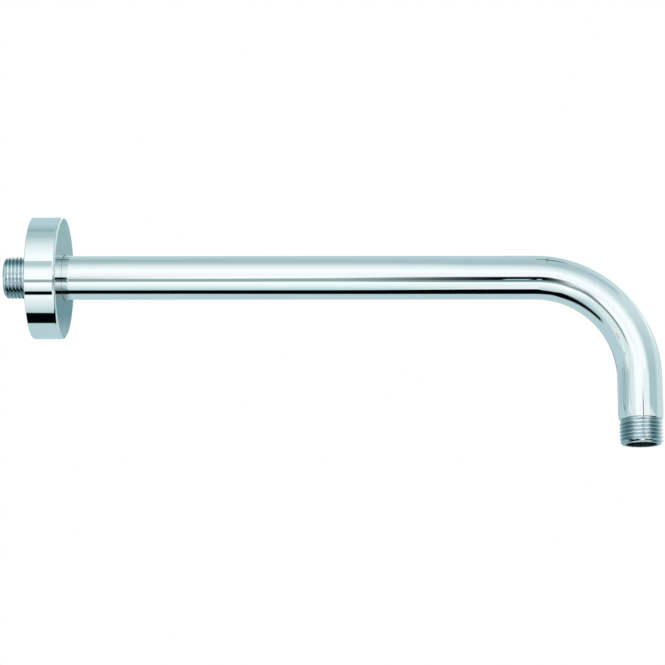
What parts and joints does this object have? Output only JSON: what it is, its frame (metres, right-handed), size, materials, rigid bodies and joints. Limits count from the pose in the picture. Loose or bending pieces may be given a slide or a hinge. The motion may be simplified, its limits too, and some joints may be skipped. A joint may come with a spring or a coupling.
{
  "type": "shower arm",
  "caption": "Wall shower arm in polished chrome: a straight tube with a quarter bend, a pipe-threaded inlet and outlet, and a round wall flange that slides along the tube.",
  "frame": {"origin": "centre of the wall flange's wall side, on the inlet's axis", "axes": "+X along the straight tube, away from the wall; the outlet points along -Z"},
  "size_m": [0.3252, 0.0612, 0.1146],
  "materials": {
    "polished_chrome": "polished",
    "thread_chrome": "satin",
    "black_rubber": "matte"
  },
  "bodies": {
    "arm": {"arm_tube": "polished_chrome", "inlet_nipple": "thread_chrome", "outlet_nipple": "thread_chrome"},
    "flange": {"wall_flange": "polished_chrome", "seal_ring": "black_rubber"}
  },
  "joints": [
    {"name": "flange_slide", "type": "slide", "parent": "arm", "child": "flange", "axis": [1, 0, 0], "range_m": [0, 0.23]}
  ]
}
